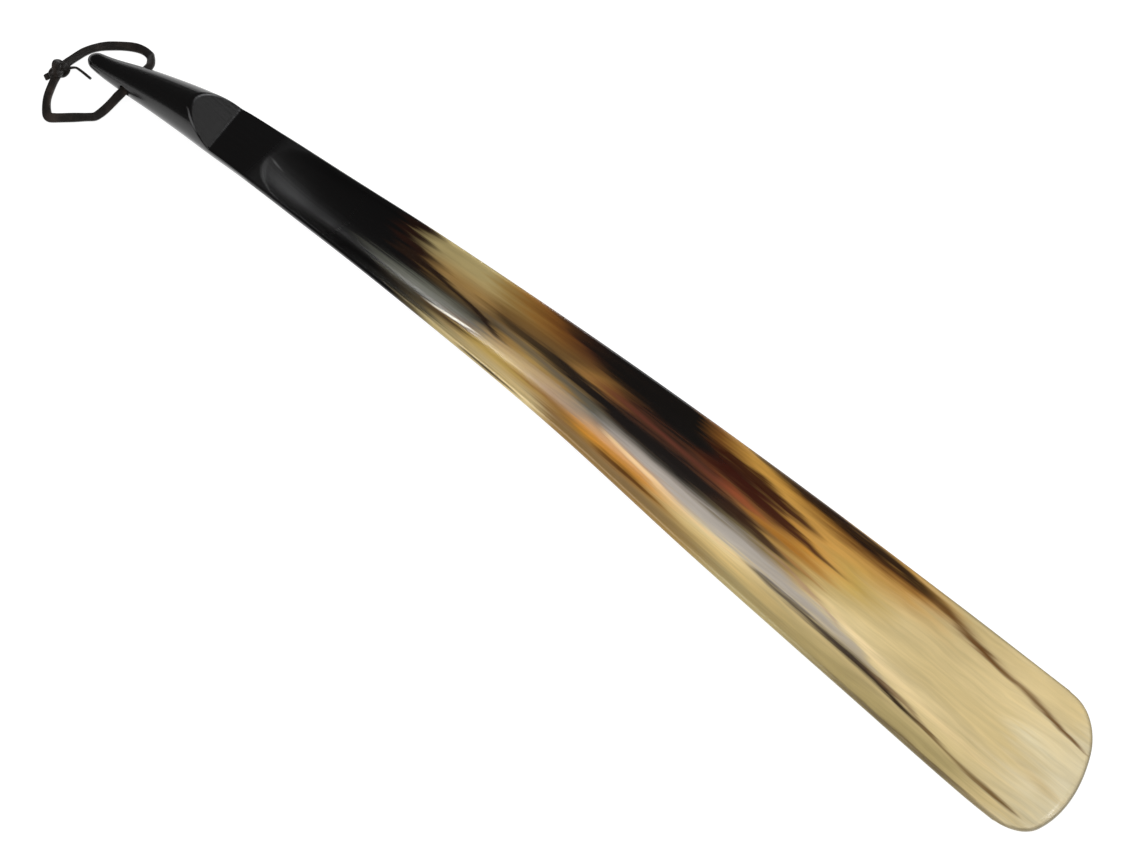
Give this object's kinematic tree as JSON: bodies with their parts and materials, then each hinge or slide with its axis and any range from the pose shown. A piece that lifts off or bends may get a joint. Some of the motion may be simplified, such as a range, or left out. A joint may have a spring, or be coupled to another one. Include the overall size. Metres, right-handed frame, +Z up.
{
  "type": "long shoehorn",
  "caption": "Long polished horn shoehorn: tapered round handle, saw-cut flat, spoon-started trough and wide rounded blade, with a knotted leather hanging thong.",
  "frame": {"origin": "bottom centre of the horn's box, on the table it lies on with its trough up", "axes": "+X from the tip to the blade, +Z up out of the trough, +Y to the left looking from the tip to the blade"},
  "size_m": [0.4779, 0.0585, 0.0257],
  "materials": {
    "polished_horn": "polished natural horn, black at the tip, streaked amber to pale honey at the blade",
    "thong_leather": "flat dark brown-black leather lace, lightly waxed"
  },
  "bodies": {
    "horn": {"horn": "polished_horn"},
    "thong": {"thong_far_leg": "thong_leather", "thong_near_leg": "thong_leather", "thong_knot": "thong_leather", "thong_long_tail": "thong_leather", "thong_short_tail": "thong_leather"}
  },
  "joints": [
    {"name": "thong_swing", "type": "hinge", "parent": "horn", "child": "thong", "pos_m": [-0.2125, 0.0002, 0.00698], "axis": [0, 1, 0], "range_deg": [0, 150]}
  ]
}
